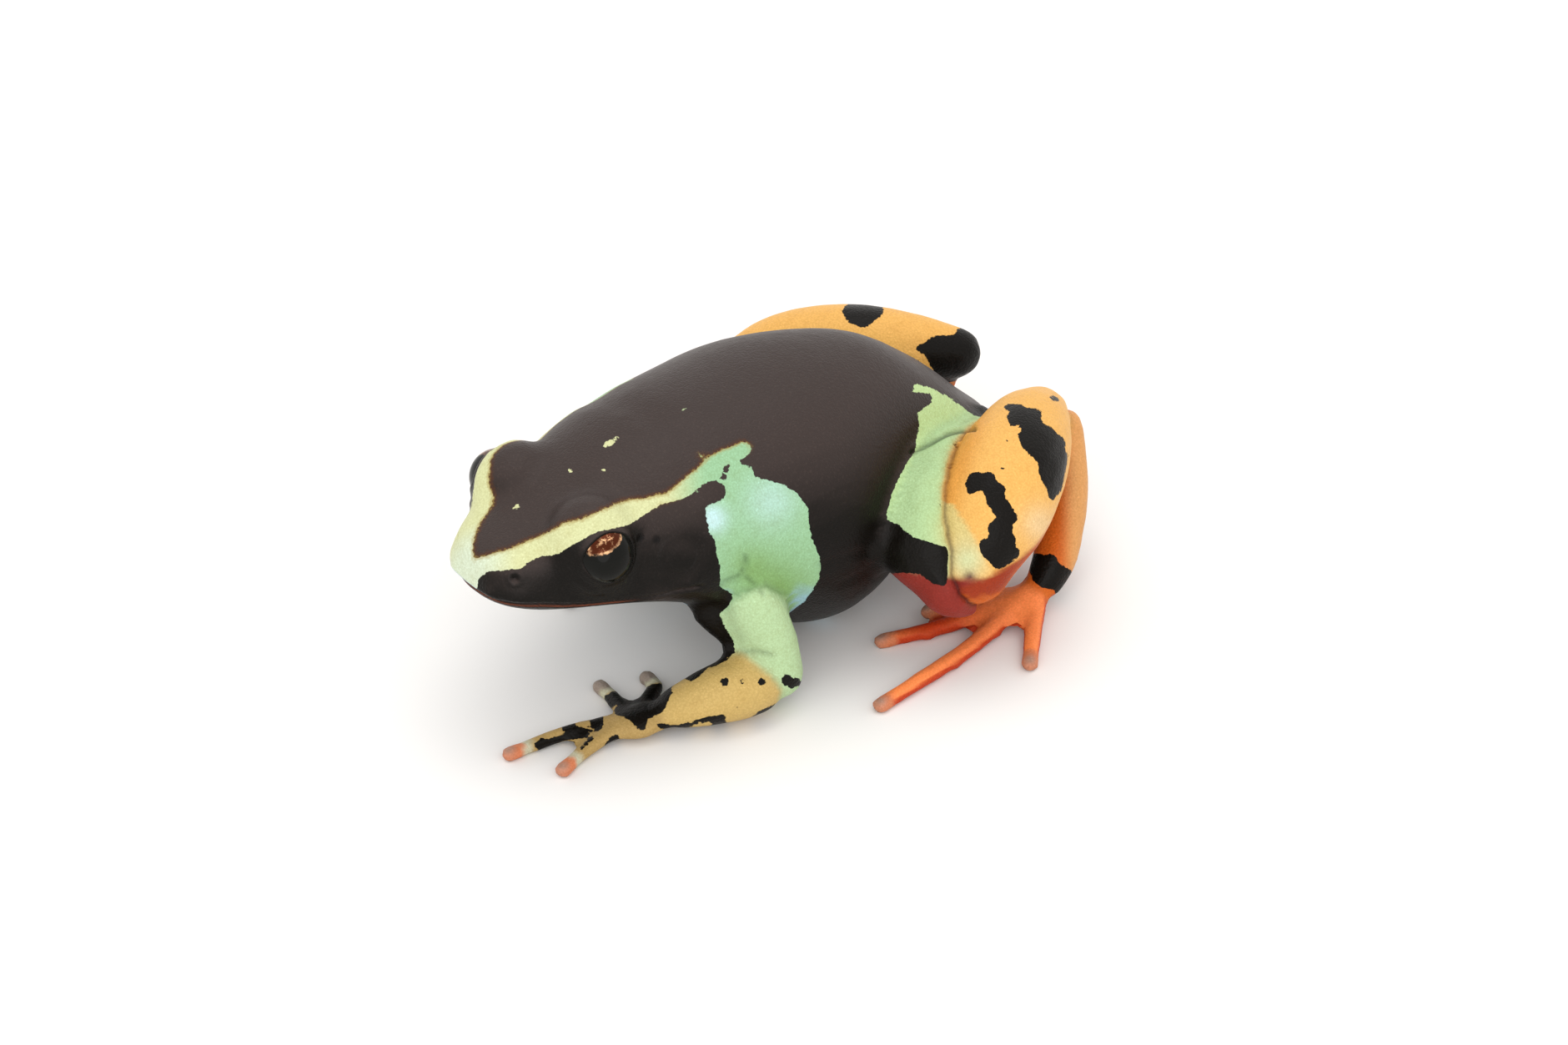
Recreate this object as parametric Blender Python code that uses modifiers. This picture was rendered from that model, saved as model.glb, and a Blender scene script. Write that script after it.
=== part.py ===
"""A painted mantella, a small ground frog of Madagascar, at life size.

It sits with its head raised, its left hand set forward and both hind legs folded. The frog
faces -Y and its left side is +X. Each part of the body is drawn as closed forms, which are
fused and smoothed into one solid, and is then cut clear of the part that it grows from.
"""

import math

import bmesh
import bpy
import numpy as np
from mathutils import Vector

# Lengths are in millimetres while the frog is modelled. The last step brings it to metres.
TO_METRES = 0.001
SNOUT, VENT = -11.3, 10.4
NECK = -4.1
JOINT_GAP = 0.3
FLOOR = 0.0

EYE_CENTRE = Vector((2.7, -8.05, 7.5))
EYE_RADIUS = 1.0
LID_CENTRE = Vector((1.95, -7.95, 7.58))
LID_RADIUS = 1.5
NOSTRIL_CENTRE = Vector((1.55, -10.75, 7.0))
NOSTRIL_RADIUS = 0.17
EARDRUM_CENTRE = Vector((3.84, -5.7, 6.92))
EARDRUM_FACES = Vector((0.92, -0.26, 0.3))
EARDRUM_RADIUS = 0.6
EARDRUM_GROOVE = 0.09
MOUTH_CORNER = -5.3
MOUTH_GROOVE = 0.14
LIP_ABOVE_MOUTH = 0.3
LIP_INSET = 0.16
LIP_RADIUS = 0.28

# One row for each section of head and trunk, from snout to vent: place along the body, half
# width, top, level of the widest line and bottom, then how square it is above and below.
BODY_ROWS = (
    (-11.30, 0.80, 7.05, 6.55, 6.00, 2.2, 2.0),
    (-11.00, 1.45, 7.40, 6.45, 5.65, 2.3, 2.0),
    (-10.40, 2.00, 7.70, 6.30, 5.30, 2.7, 2.0),
    (-9.40, 2.55, 8.05, 6.15, 5.00, 2.7, 2.0),
    (-8.00, 3.15, 8.60, 6.00, 4.75, 2.5, 2.0),
    (-6.40, 3.80, 9.20, 5.80, 4.40, 2.2, 2.0),
    (-4.80, 4.35, 9.60, 5.60, 3.60, 2.1, 2.0),
    (-3.20, 4.60, 9.80, 5.30, 2.20, 2.1, 2.0),
    (-1.20, 4.90, 9.80, 5.00, 0.90, 2.1, 2.0),
    (1.00, 5.10, 9.75, 4.80, -0.10, 2.1, 2.0),
    (3.20, 4.45, 9.45, 4.70, -0.18, 2.1, 2.0),
    (5.40, 3.45, 8.70, 4.60, 0.80, 2.1, 1.9),
    (7.60, 2.80, 6.95, 4.30, 1.50, 2.1, 2.0),
    (9.20, 2.00, 5.25, 3.80, 2.00, 2.1, 2.0),
    (10.00, 1.40, 4.45, 3.60, 2.40, 2.0, 2.0),
    (10.40, 0.80, 4.10, 3.40, 2.70, 2.0, 2.0),
)

# Level of the line of the mouth: place along the body, then height.
MOUTH_LINE = (
    (-11.30, 6.10),
    (-10.10, 6.05),
    (-8.90, 5.82),
    (-7.60, 5.69),
    (-6.60, 5.62),
    (-6.00, 5.70),
    (-5.20, 5.68),
)

# A limb is a row of points along its middle: x, y, z, half its width and half its thickness.
# A fold of skin runs from the chest down the inner side of the left upper arm.
ARM_FOLD = (
    (3.05, -4.00, 3.75, 0.70, 0.70),
    (3.50, -3.70, 2.95, 0.50, 0.50),
    (4.00, -3.25, 2.20, 0.34, 0.34),
)
LIMBS = {
    "upper_arm_left": (
        (3.10, -3.50, 5.60, 1.05, 1.05),
        (4.05, -3.15, 4.40, 1.05, 1.05),
        (4.60, -2.65, 2.65, 0.92, 0.92),
        (4.85, -2.45, 1.25, 0.85, 0.85),
    ),
    "upper_arm_right": (
        (-3.10, -3.00, 5.60, 1.05, 1.05),
        (-4.35, -2.00, 4.30, 1.05, 1.05),
        (-5.45, -0.30, 2.50, 0.92, 0.92),
        (-6.00, 1.00, 1.25, 0.85, 0.85),
    ),
    "forearm_left": (
        (4.95, -2.35, 1.20, 0.90, 0.92),
        (4.58, -3.90, 1.22, 1.08, 1.10),
        (4.15, -5.10, 1.05, 0.96, 0.92),
        (3.75, -5.90, 0.85, 0.76, 0.70),
    ),
    "forearm_right": (
        (-6.05, 1.10, 1.20, 0.90, 0.92),
        (-5.95, -0.40, 1.20, 1.05, 1.05),
        (-5.70, -1.60, 1.05, 0.88, 0.88),
        (-5.50, -2.40, 0.85, 0.66, 0.66),
    ),
    "thigh_left": (
        (1.30, 8.20, 4.10, 1.70, 1.70),
        (3.75, 5.40, 4.70, 2.50, 1.95),
        (5.60, 3.95, 4.35, 2.40, 1.85),
        (6.90, 3.55, 3.45, 1.50, 1.30),
    ),
    "thigh_right": (
        (-1.30, 8.20, 4.00, 1.70, 1.70),
        (-3.30, 6.80, 3.90, 2.20, 2.05),
        (-5.10, 5.60, 3.50, 2.05, 1.85),
        (-6.60, 4.70, 3.00, 1.45, 1.35),
    ),
    "shank_left": (
        (7.20, 4.05, 3.90, 1.25, 1.25),
        (6.70, 5.00, 4.90, 1.85, 1.75),
        (5.70, 6.75, 5.70, 1.95, 1.85),
        (4.40, 8.65, 5.75, 1.60, 1.55),
        (3.45, 10.05, 5.40, 1.10, 1.10),
    ),
    "shank_right": (
        (-7.05, 5.20, 3.60, 1.15, 1.15),
        (-6.20, 6.80, 4.20, 1.60, 1.55),
        (-4.90, 8.60, 4.50, 1.65, 1.55),
        (-3.50, 10.20, 4.50, 1.35, 1.30),
        (-2.45, 11.40, 4.40, 0.95, 0.95),
    ),
    "tarsus_left": (
        (3.60, 10.90, 4.60, 0.82, 0.82),
        (4.95, 10.00, 3.10, 0.80, 0.80),
        (5.90, 8.80, 1.70, 0.78, 0.78),
        (6.15, 8.10, 1.00, 0.68, 0.68),
    ),
    "tarsus_right": (
        (-2.80, 11.00, 3.50, 0.80, 0.80),
        (-4.00, 10.40, 2.40, 0.80, 0.80),
        (-5.20, 9.60, 1.40, 0.76, 0.76),
        (-5.70, 8.90, 0.95, 0.68, 0.68),
    ),
}

# Palm or sole first, then each finger or toe from its root to its tip.
HANDS_AND_FEET = {
    "hand_left": (
        ((3.66, -6.20, 0.74, 0.66, 0.54), (3.20, -7.10, 0.52, 0.80, 0.42), (2.85, -7.70, 0.42, 0.60, 0.34)),
        (
            ((3.00, -6.90, 0.45), (2.35, -6.10, 0.34), (1.80, -5.20, 0.27), (1.10, -5.08, 0.19)),
            ((2.70, -7.10, 0.42), (1.45, -6.75, 0.28), (0.50, -6.58, 0.19)),
            ((2.60, -7.60, 0.42), (1.90, -9.30, 0.28), (1.58, -11.20, 0.19)),
            ((2.95, -7.70, 0.42), (3.02, -9.00, 0.28), (3.38, -10.38, 0.19)),
        ),
    ),
    "hand_right": (
        (
            (-5.45, -2.70, 0.74, 0.62, 0.52),
            (-5.35, -3.35, 0.52, 0.78, 0.42),
            (-5.30, -3.85, 0.42, 0.62, 0.34),
        ),
        (
            ((-4.90, -3.20, 0.45), (-4.25, -3.00, 0.28), (-3.70, -2.70, 0.19)),
            ((-4.95, -3.60, 0.42), (-4.45, -4.05, 0.28), (-4.00, -4.40, 0.19)),
            ((-5.25, -3.80, 0.42), (-5.20, -4.50, 0.28), (-5.10, -5.10, 0.19)),
            ((-5.55, -3.70, 0.42), (-6.15, -4.15, 0.28), (-6.65, -4.45, 0.19)),
        ),
    ),
    "foot_left": (
        ((6.20, 7.85, 0.80, 0.62, 0.56), (6.08, 7.15, 0.52, 0.66, 0.44), (5.95, 6.60, 0.42, 0.62, 0.36)),
        (
            ((5.60, 7.20, 0.45), (4.75, 6.40, 0.30), (4.05, 5.90, 0.19)),
            ((5.65, 6.80, 0.42), (4.85, 5.40, 0.30), (4.20, 4.55, 0.19)),
            ((5.85, 6.70, 0.42), (5.30, 4.40, 0.30), (4.50, 2.25, 0.19)),
            ((6.15, 6.60, 0.42), (6.75, 4.30, 0.30), (7.05, 1.90, 0.25), (7.25, -0.10, 0.19)),
            ((6.25, 7.75, 0.60), (7.15, 6.75, 0.36), (7.95, 5.95, 0.26), (8.65, 5.25, 0.19)),
        ),
    ),
    "foot_right": (
        ((-5.80, 8.75, 0.80, 0.62, 0.56), (-6.05, 8.05, 0.52, 0.66, 0.44), (-6.25, 7.50, 0.42, 0.62, 0.36)),
        (
            ((-5.60, 7.90, 0.45), (-5.30, 6.90, 0.30), (-5.00, 6.20, 0.19)),
            ((-5.95, 7.60, 0.42), (-5.85, 6.20, 0.30), (-5.70, 5.20, 0.19)),
            ((-6.20, 7.50, 0.42), (-6.70, 5.30, 0.30), (-6.95, 3.60, 0.19)),
            ((-6.45, 7.50, 0.42), (-7.60, 5.20, 0.30), (-8.30, 3.40, 0.25), (-8.85, 1.60, 0.19)),
            ((-6.40, 8.40, 0.60), (-7.50, 7.70, 0.36), (-8.45, 7.10, 0.26), (-9.30, 6.50, 0.19)),
        ),
    ),
}
# Half the width and half the thickness of a finger or toe, then half the width of its pad.
DIGITS = {"hand": (0.28, 0.27, 0.34), "foot": (0.32, 0.28, 0.34)}

# What each part is cut clear of, in the order of the cuts: it keeps JOINT_GAP from these.
CLEAR_OF = (
    ("upper_arm", ("torso", "head")),
    ("forearm", ("upper_arm", "torso")),
    ("hand", ("forearm", "upper_arm")),
    ("shank", ("torso",)),
    ("thigh", ("torso", "shank")),
    ("tarsus", ("shank", "thigh", "torso")),
    ("foot", ("tarsus", "shank", "thigh", "torso")),
)

# Voxel size, smoothing passes and triangles of each part.
FUSING = {
    "head": (0.20, 6, 3700),
    "torso": (0.28, 8, 2000),
    "eye": (0.20, 0, 500),
    "upper_arm": (0.20, 4, 340),
    "forearm": (0.18, 4, 380),
    "hand": (0.13, 3, 950),
    "thigh": (0.25, 6, 520),
    "shank": (0.25, 5, 600),
    "tarsus": (0.18, 4, 320),
    "foot": (0.13, 3, 1150),
}

COLOURS = {
    "head": (0.045, 0.035, 0.033),
    "torso": (0.050, 0.040, 0.038),
    "eye": (0.02, 0.015, 0.012),
    "upper_arm": (0.50, 0.66, 0.38),
    "forearm": (0.62, 0.60, 0.30),
    "hand": (0.30, 0.28, 0.20),
    "thigh": (0.50, 0.66, 0.38),
    "shank": (0.80, 0.42, 0.12),
    "tarsus": (0.78, 0.34, 0.08),
    "foot": (0.72, 0.20, 0.05),
}


def smooth_rows(rows, steps):
    """The rows with more between them, on a Catmull-Rom curve through every one."""
    rows = np.array(rows, float)
    ends = np.vstack([2 * rows[0] - rows[1], rows, 2 * rows[-1] - rows[-2]])
    found = []
    for before, start, end, after in zip(ends, ends[1:], ends[2:], ends[3:]):
        for t in np.arange(steps) / steps:
            found.append(
                start
                + 0.5 * t * (end - before)
                + t * t * (before - 2.5 * start + 2 * end - 0.5 * after)
                + 0.5 * t**3 * (3 * start - before - 3 * end + after)
            )
    return np.array([*found, rows[-1]])


def mesh_object(name, mesh):
    made = bpy.data.objects.new(name, mesh)
    workshop.objects.link(made)
    return made


def loft(name, rings):
    """A closed skin over rings of points, each ring the same count, with flat ends."""
    bm = bmesh.new()
    loops = [[bm.verts.new(point) for point in ring] for ring in rings]
    for ring, following in zip(loops, loops[1:]):
        for k in range(len(ring)):
            j = (k + 1) % len(ring)
            bm.faces.new((ring[k], ring[j], following[j], following[k]))
    bm.faces.new(loops[0][::-1])
    bm.faces.new(loops[-1])
    bmesh.ops.recalc_face_normals(bm, faces=bm.faces)
    mesh = bpy.data.meshes.new(name)
    bm.to_mesh(mesh)
    bm.free()
    return mesh_object(name, mesh)


def trunk(name, start, end, sections=40, sides=40):
    """Head or torso: the stretch of the body's rows between two places along it."""
    rows = smooth_rows(BODY_ROWS, 8)
    rings = []
    for y in np.linspace(start, end, sections):
        width, top, middle, bottom, above, below = (
            np.interp(y, rows[:, 0], rows[:, n]) for n in range(1, 7)
        )
        ring = []
        for turn in np.arange(sides) * math.tau / sides:
            across, up = math.cos(turn), math.sin(turn)
            power, reach = (2 / above, top - middle) if up > 0 else (2 / below, middle - bottom)
            x = width * math.copysign(abs(across) ** power, across)
            z = middle + reach * math.copysign(abs(up) ** power, up)
            ring.append((x, y, z))
        rings.append(ring)
    return loft(name, rings)


def limb(name, stations, sides=16, steps=4):
    """A limb, finger or toe along its stations, as wide as each says and with round ends."""
    rows = smooth_rows(stations, steps)
    path = [Vector(row[:3]) for row in rows]
    rings = []

    def ring(centre, along, half_width, half_thickness):
        side = along.cross(Vector((0, 0, 1))).normalized()
        rise = side.cross(along).normalized()
        turns = np.arange(sides) * math.tau / sides
        return [
            centre + side * half_width * math.cos(t) + rise * half_thickness * math.sin(t)
            for t in turns
        ]

    first, last = (path[1] - path[0]).normalized(), (path[-1] - path[-2]).normalized()
    rounding = np.radians([12, 35, 60])
    for angle in rounding:
        width, thickness = rows[0][3:5]
        centre = path[0] - first * float(thickness * math.cos(angle))
        rings.append(ring(centre, first, width * math.sin(angle), thickness * math.sin(angle)))
    for k, row in enumerate(rows):
        along = path[min(k + 1, len(path) - 1)] - path[max(k - 1, 0)]
        rings.append(ring(path[k], along.normalized(), *row[3:5]))
    for angle in rounding[::-1]:
        width, thickness = rows[-1][3:5]
        centre = path[-1] + last * float(thickness * math.cos(angle))
        rings.append(ring(centre, last, width * math.sin(angle), thickness * math.sin(angle)))
    return loft(name, rings)


def digit(name, points, half_width, half_thickness, pad_half_width):
    """A finger or toe: it thins from its root and ends in a small flat pad."""
    count = len(points) - 1
    stations = [
        (*point, half_width * (1.15 - 0.25 * k / count), half_thickness)
        for k, point in enumerate(points)
    ]
    before, tip = Vector(points[-2]), Vector(points[-1])
    neck = tip.lerp(before, 0.6 / (tip - before).length)
    stations[-1] = (*neck, half_width * 0.9, half_thickness * 0.95)
    stations.append((*tip, pad_half_width, half_thickness))
    return limb(name, stations, sides=12, steps=3)


def ball(name, centre, radius, stretch=(1, 1, 1)):
    bm = bmesh.new()
    bmesh.ops.create_uvsphere(bm, u_segments=24, v_segments=14, radius=radius)
    bmesh.ops.scale(bm, vec=stretch, verts=bm.verts)
    bmesh.ops.translate(bm, vec=centre, verts=bm.verts)
    mesh = bpy.data.meshes.new(name)
    bm.to_mesh(mesh)
    bm.free()
    return mesh_object(name, mesh)


def mirrored(point, side):
    return Vector((point[0] * side, point[1], point[2]))


def apply_modifiers(thing):
    """Makes what the object's modifiers show its own mesh."""
    graph = bpy.context.evaluated_depsgraph_get()
    made = bpy.data.meshes.new_from_object(thing.evaluated_get(graph))
    thing.modifiers.clear()
    thing.data = made


def kind_of(name):
    return name.removesuffix("_left").removesuffix("_right")


def fused(name, pieces):
    """Joins overlapping closed pieces in one smooth skin of small even faces."""
    voxel, passes, triangles = FUSING[kind_of(name)]
    bm = bmesh.new()
    for piece in pieces:
        bm.from_mesh(piece.data)
        bpy.data.objects.remove(piece)
    mesh = bpy.data.meshes.new(name)
    bm.to_mesh(mesh)
    bm.free()
    made = mesh_object(name, mesh)
    remesh = made.modifiers.new("one_skin", "REMESH")
    remesh.mode = "VOXEL"
    remesh.voxel_size = voxel
    smooth = made.modifiers.new("rounded", "SMOOTH")
    smooth.factor = 0.5
    smooth.iterations = passes
    apply_modifiers(made)
    thin_out(made, 1.3 * triangles)
    return made


def thin_out(thing, triangles):
    """Merges faces where the surface is plainest, until about this many triangles are left."""
    count = sum(len(face.vertices) - 2 for face in thing.data.polygons)
    thin = thing.modifiers.new("fewer_faces", "DECIMATE")
    thin.ratio = min(1, triangles / count)
    apply_modifiers(thing)


def combine(thing, cutter, operation="DIFFERENCE"):
    boolean = thing.modifiers.new("boolean", "BOOLEAN")
    boolean.operation = operation
    boolean.solver = "EXACT"
    boolean.object = cutter
    apply_modifiers(thing)


def cut(thing, cutter):
    combine(thing, cutter)
    bpy.data.objects.remove(cutter)


def grown(thing, gap):
    """A copy of a part that is larger all round by the gap."""
    copy = mesh_object(thing.name + "_grown", thing.data.copy())
    swell = copy.modifiers.new("gap", "DISPLACE")
    swell.mid_level = 0
    swell.strength = gap
    apply_modifiers(copy)
    return copy


def box(name, low, high):
    bm = bmesh.new()
    low, high = Vector(low), Vector(high)
    bmesh.ops.create_cube(bm, size=1)
    bmesh.ops.scale(bm, vec=high - low, verts=bm.verts)
    bmesh.ops.translate(bm, vec=(low + high) / 2, verts=bm.verts)
    mesh = bpy.data.meshes.new(name)
    bm.to_mesh(mesh)
    bm.free()
    return mesh_object(name, mesh)


def keep_largest_body(thing):
    """Drops loose scraps: only the closed surface with the most volume stays."""
    bm = bmesh.new()
    bm.from_mesh(thing.data)
    bmesh.ops.triangulate(bm, faces=bm.faces)
    bmesh.ops.remove_doubles(bm, verts=bm.verts, dist=0.004)
    bmesh.ops.dissolve_degenerate(bm, edges=bm.edges, dist=0.002)
    bmesh.ops.triangulate(bm, faces=bm.faces)
    left, bodies = set(bm.faces), []
    while left:
        edge_of_body = [left.pop()]
        body = set(edge_of_body)
        while edge_of_body:
            face = edge_of_body.pop()
            for edge in face.edges:
                for other in edge.link_faces:
                    if other in left:
                        left.discard(other)
                        body.add(other)
                        edge_of_body.append(other)
        bodies.append(body)

    def volume(body):
        corners = [[v.co for v in face.verts] for face in body]
        return abs(sum(a.dot(b.cross(c)) for a, b, c in corners))

    largest = max(bodies, key=volume)
    scraps = [face for face in bm.faces if face not in largest]
    bmesh.ops.delete(bm, geom=scraps, context="FACES")
    bm.to_mesh(thing.data)
    bm.free()


def build_head():
    """Skull and jaws in one, with eye sockets, lids, nostrils, eardrums and mouth line."""
    pieces = [trunk("skull", SNOUT, NECK + 1)]
    for side in (1, -1):
        pieces.append(ball("lid", mirrored(LID_CENTRE, side), LID_RADIUS, (1, 1.08, 1)))
    pieces.append(along_the_mouth("lip", LIP_ABOVE_MOUTH, -LIP_INSET, LIP_RADIUS))
    head = fused("head", pieces)
    neck_face = NECK - JOINT_GAP / 2
    cut(head, box("neck_cut", (-9, neck_face, -2), (9, neck_face + 3, 12)))
    for side in (1, -1):
        eye = mirrored(EYE_CENTRE, side)
        cut(head, ball("socket", eye, EYE_RADIUS + JOINT_GAP))
        cut(head, ball("nostril", mirrored(NOSTRIL_CENTRE, side), NOSTRIL_RADIUS))
        cut(head, eardrum_cutter(side))
    cut(head, along_the_mouth("mouth_line", 0, 0, MOUTH_GROOVE))
    return head


def eardrum_cutter(side):
    """A thin ring that stands in the skin of the cheek and marks the edge of the eardrum."""
    outward = mirrored(EARDRUM_FACES, side)
    bpy.ops.mesh.primitive_torus_add(
        major_segments=20,
        minor_segments=6,
        major_radius=EARDRUM_RADIUS,
        minor_radius=EARDRUM_GROOVE,
        location=mirrored(EARDRUM_CENTRE, side),
        rotation=outward.to_track_quat("Z", "Y").to_euler(),
    )
    ring = bpy.context.object
    ring.name = "eardrum"
    return ring


def along_the_mouth(name, above, outward, radius):
    """A thin rod from one corner of the mouth round the snout to the other."""
    rows, line = smooth_rows(BODY_ROWS, 8), smooth_rows(MOUTH_LINE, 8)
    points = []
    for y in np.linspace(MOUTH_CORNER, SNOUT + 0.15, 13):
        width, level = np.interp(y, rows[:, 0], rows[:, 1]), np.interp(y, line[:, 0], line[:, 1])
        points.append(Vector((width + outward, y, level + above)))
    front = Vector((0, SNOUT - outward, points[-1].z))
    path = points + [front] + [mirrored(point, -1) for point in points[::-1]]
    return limb(name, [(*point, radius, radius) for point in path], sides=6, steps=1)


def build_parts():
    parts = {"head": build_head()}
    torso = trunk("trunk", NECK - 1, VENT)
    parts["torso"] = fused("torso", [torso])
    cut(parts["torso"], box("neck_cut", (-9, NECK - 3, -2), (9, NECK + JOINT_GAP / 2, 12)))
    for name, stations in LIMBS.items():
        pieces = [limb(name, stations)]
        if name == "upper_arm_left":
            pieces.append(limb("arm_fold", ARM_FOLD))
        parts[name] = fused(name, pieces)
    for name, (palm, digits) in HANDS_AND_FEET.items():
        sizes = DIGITS[kind_of(name)]
        pieces = [limb("palm", palm)] + [digit("digit", points, *sizes) for points in digits]
        parts[name] = fused(name, pieces)
    return parts


def part_the_joints(parts):
    """Cuts every limb clear of the parts that it grows from or lies against."""
    for kind, neighbours in CLEAR_OF:
        for side in ("_left", "_right"):
            for neighbour in neighbours:
                other = parts.get(neighbour + side) or parts.get(neighbour)
                cut(parts[kind + side], grown(other, JOINT_GAP))
                keep_largest_body(parts[kind + side])


def rest_on_floor(parts):
    """Gives all that touches the floor small flats at one level."""
    for name, part in parts.items():
        thin_out(part, FUSING[kind_of(name)][2])
        if min(v.co.z for v in part.data.vertices) < FLOOR:
            cut(part, box("floor", (-20, -20, -5), (20, 20, FLOOR)))
        keep_largest_body(part)


def finish(parts):
    """Scales to metres about the middle of the floor under the frog, and adds colours."""
    points = np.array([v.co for part in parts.values() for v in part.data.vertices])
    low, high = points.min(0), points.max(0)
    origin = Vector(((low[0] + high[0]) / 2, (low[1] + high[1]) / 2, FLOOR))
    for name, part in parts.items():
        part.name = name
        part.data.name = name
        workshop.objects.unlink(part)
        model.objects.link(part)
        for vertex in part.data.vertices:
            vertex.co = (vertex.co - origin) * TO_METRES
        material = bpy.data.materials.new(name)
        material.use_nodes = True
        shader = material.node_tree.nodes["Principled BSDF"]
        shader.inputs["Base Color"].default_value = (*COLOURS[kind_of(name)], 1)
        shader.inputs["Roughness"].default_value = 0.4
        part.data.materials.clear()
        part.data.materials.append(material)
        part.data.shade_smooth()
        part.data.set_sharp_from_angle(angle=math.radians(40))


for thing in list(bpy.data.objects):
    bpy.data.objects.remove(thing)
model = bpy.data.collections.new("madagascan_mantella")
bpy.context.scene.collection.children.link(model)
workshop = bpy.data.collections.new("cutters")
bpy.context.scene.collection.children.link(workshop)
frog = build_parts()
part_the_joints(frog)
for eye_side, eye_name in ((1, "eye_left"), (-1, "eye_right")):
    frog[eye_name] = ball(eye_name, mirrored(EYE_CENTRE, eye_side), EYE_RADIUS)
rest_on_floor(frog)
finish(frog)
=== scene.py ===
import math

import bmesh
import bpy
import numpy as np
from mathutils import Matrix, Vector
from mathutils.bvhtree import BVHTree


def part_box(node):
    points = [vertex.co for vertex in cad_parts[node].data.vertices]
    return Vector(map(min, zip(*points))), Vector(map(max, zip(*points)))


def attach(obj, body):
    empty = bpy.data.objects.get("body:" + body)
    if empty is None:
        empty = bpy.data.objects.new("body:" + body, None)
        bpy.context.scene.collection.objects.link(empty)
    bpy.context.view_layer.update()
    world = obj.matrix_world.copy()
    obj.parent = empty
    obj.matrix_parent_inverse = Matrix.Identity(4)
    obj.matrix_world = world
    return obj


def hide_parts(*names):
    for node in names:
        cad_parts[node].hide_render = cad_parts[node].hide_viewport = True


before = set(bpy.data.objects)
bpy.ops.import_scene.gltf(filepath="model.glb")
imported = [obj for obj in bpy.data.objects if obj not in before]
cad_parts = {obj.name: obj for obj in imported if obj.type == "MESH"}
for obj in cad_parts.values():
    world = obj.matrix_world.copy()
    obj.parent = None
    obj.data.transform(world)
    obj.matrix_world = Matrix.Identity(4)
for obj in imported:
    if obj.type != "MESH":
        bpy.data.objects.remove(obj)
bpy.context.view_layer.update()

# Camera
# It looks at the frog from ahead, from its left and from above, through a long lens. Sizes on
# the frog are in millimetres from a point under its middle, found from the left eye's place.
MM = 0.001
EYE_CENTRE = np.array((2.7, -8.05, 7.5))
EYE_RADIUS = 1.0
eye_low, eye_high = (np.array(corner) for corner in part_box("eye_left"))
FROG_ORIGIN = (eye_low + eye_high) / 2 - EYE_CENTRE * MM

PHOTO_WIDTH, PHOTO_HEIGHT = 1880, 1253
SENSOR_WIDTH = 36
LENS = 150
CAMERA_TURN = math.radians(50.6)
CAMERA_RISE = math.radians(35)
CAMERA_REACH = 221
LOOKS_AT = np.array((-0.66, 2.29, 2.25))
ACROSS = np.array((math.cos(CAMERA_TURN), math.sin(CAMERA_TURN), 0))
AHEAD = np.array((
    -math.sin(CAMERA_TURN) * math.cos(CAMERA_RISE),
    math.cos(CAMERA_TURN) * math.cos(CAMERA_RISE),
    -math.sin(CAMERA_RISE),
))
UPWARDS = np.cross(ACROSS, AHEAD)
CAMERA_PLACE = LOOKS_AT - AHEAD * CAMERA_REACH
PIXELS_A_MM = LENS / SENSOR_WIDTH * PHOTO_WIDTH / CAMERA_REACH

lens = bpy.data.cameras.new("camera")
lens.lens = LENS
lens.sensor_width = SENSOR_WIDTH
lens.clip_start = 0.01
camera = bpy.data.objects.new("camera", lens)
bpy.context.scene.collection.objects.link(camera)
camera.location = FROG_ORIGIN + CAMERA_PLACE * MM
camera.rotation_euler = Vector(AHEAD).to_track_quat("-Z", "Y").to_euler()
bpy.context.scene.camera = camera


def in_photo(points):
    """Where points on the frog fall in the photograph, in its pixels."""
    away = points - CAMERA_PLACE
    scale = LENS / SENSOR_WIDTH * PHOTO_WIDTH / (away @ AHEAD)
    across, down = scale * (away @ ACROSS), -scale * (away @ UPWARDS)
    return np.stack((PHOTO_WIDTH / 2 + across, PHOTO_HEIGHT / 2 + down), -1)


# Skin, its body
# One moist skin covers head, trunk and limbs, without a seam. The parts of the model are grown
# until they meet, wrapped in one fine mesh, drawn back to size and smoothed.
FLESH = [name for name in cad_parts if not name.startswith("eye_")]
GROW = 0.2
VOXEL = 0.172
SMOOTHING = {
    "torso": 1.0, "head": 0.75, "thigh": 0.8, "shank": 0.8, "upper_arm": 0.7,
    "forearm": 0.6, "tarsus": 0.5, "hand": 0.3, "foot": 0.3,
}
SMOOTHING_ROUNDS = 36
SOCKET_FILL = 1.36
NEAR, FAR = 1.2, 3.0
# Parts that lie against each other, then how deep and how wide the crease between them is.
CREASES = (
    ("shank_left", "thigh_left", 0.16, 0.09), ("shank_right", "thigh_right", 0.16, 0.09),
    ("shank_left", "torso", 0.10, 0.10), ("shank_right", "torso", 0.10, 0.10),
    ("thigh_left", "torso", 0.03, 0.14), ("thigh_right", "torso", 0.03, 0.14),
    ("upper_arm_left", "torso", 0.06, 0.12), ("upper_arm_right", "torso", 0.06, 0.12),
    ("tarsus_left", "shank_left", 0.06, 0.12), ("tarsus_right", "shank_right", 0.06, 0.12),
    ("forearm_left", "upper_arm_left", 0.04, 0.12), ("forearm_right", "upper_arm_right", 0.04, 0.12),
)
CLOSE_BY = (0.15, 0.5)
# The first four are folded together, and smoothing leaves them more of their hollow.
FOLDED = 4
FOLD_KEPT, FOLD_WIDTH = 0.55, 0.5


def only(thing):
    """Makes this object the one that is selected and active."""
    bpy.ops.object.select_all(action="DESELECT")
    thing.select_set(True)
    bpy.context.view_layer.objects.active = thing


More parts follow.
